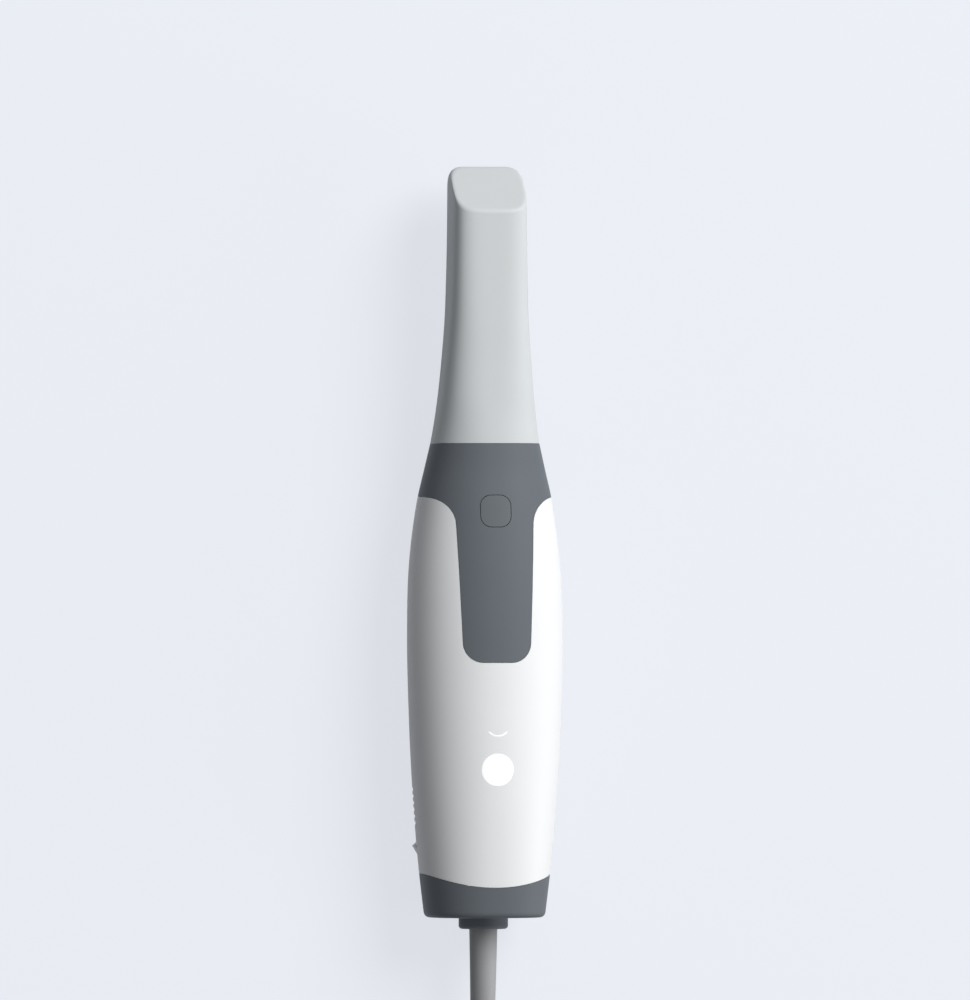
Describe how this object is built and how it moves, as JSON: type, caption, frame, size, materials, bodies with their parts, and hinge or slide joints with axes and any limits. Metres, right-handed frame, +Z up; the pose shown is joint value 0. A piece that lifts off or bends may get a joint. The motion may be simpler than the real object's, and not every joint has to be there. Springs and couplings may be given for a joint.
{
  "type": "intraoral scanner",
  "caption": "Slim handheld mouth scanner: oval white and grey handle, pull-off tip with slanted end, scan button, lit indicators and a grey cable with plug.",
  "frame": {"origin": "under the middle of the handpiece, on the surface it lies on", "axes": "+Y towards the scanning tip, +Z up through the button side, +X to the right seen from above"},
  "size_m": [0.0593, 0.4897, 0.0386],
  "materials": {
    "white_shell": "satin white moulding",
    "grey_shell": "fine matt grey moulding",
    "tip_plastic": "satin pale grey, heat-proof",
    "mirror": "front-coated mirror",
    "black_plastic": "matt black",
    "lens_glass": "coated glass",
    "seal_rubber": "soft rubber",
    "steel": "plain steel",
    "button_grey": "matt grey pad",
    "circuit_board": "green board",
    "flat_cable": "amber film",
    "light_guide": "milky light guide",
    "diode": "small diode",
    "cast_aluminium": "plain casting",
    "black_metal": "black anodised",
    "chip_black": "moulded chip",
    "socket_plastic": "pale connector",
    "wire_sleeve": "wire sleeve",
    "dark_gland": "dark grey moulding",
    "cable_grey": "satin grey sleeve",
    "tie_fabric": "black woven strap"
  },
  "bodies": {
    "handle": {"top_shell": "white_shell", "bottom_shell": "white_shell", "front_collar": "grey_shell", "rear_cap": "grey_shell", "nose_tube": "black_plastic", "nose_window": "lens_glass", "nose_seal": "seal_rubber", "nose_springs": "steel", "button_switch": "steel", "button_board": "circuit_board", "button_flex": "flat_cable", "disc_light_guide": "light_guide", "bar_light_guide": "light_guide", "indicator_board": "circuit_board", "indicator_leds": "diode", "optical_bench": "cast_aluminium", "projector_barrel": "black_metal", "camera_barrel_left": "black_metal", "camera_barrel_right": "black_metal", "front_lenses": "lens_glass", "projector_body": "black_metal", "camera_board": "circuit_board", "heat_sink": "cast_aluminium", "fan_housing": "black_plastic", "main_board": "circuit_board", "board_chips": "chip_black", "board_screws": "steel", "cable_socket": "socket_plastic", "cable_wires": "wire_sleeve", "cap_screws": "steel", "cable_gland": "dark_gland", "gland_nut": "dark_gland", "strain_relief": "cable_grey", "cable_lead": "cable_grey", "cable_coil": "cable_grey", "cable_tie": "tie_fabric", "cable_tail": "cable_grey", "plug_grip": "dark_gland", "plug_shell": "steel", "plug_tongue": "black_plastic"},
    "tip": {"tip_shell": "tip_plastic", "tip_mirror": "mirror"},
    "button": {"scan_button": "button_grey", "switch_plunger": "black_plastic"},
    "fan": {"fan_rotor": "black_plastic"}
  },
  "joints": [
    {"name": "tip_pull", "type": "slide", "parent": "handle", "child": "tip", "axis": [0, 1, 0], "range_m": [0, 0.0355]},
    {"name": "button_press", "type": "slide", "parent": "handle", "child": "button", "axis": [0, 0, -1], "range_m": [0, 0.0005], "stiffness_N_per_m": 800},
    {"name": "fan_spin", "type": "hinge", "parent": "handle", "child": "fan", "pos_m": [0, -0.044, 0.0202], "axis": [0, 1, 0], "continuous": true}
  ]
}
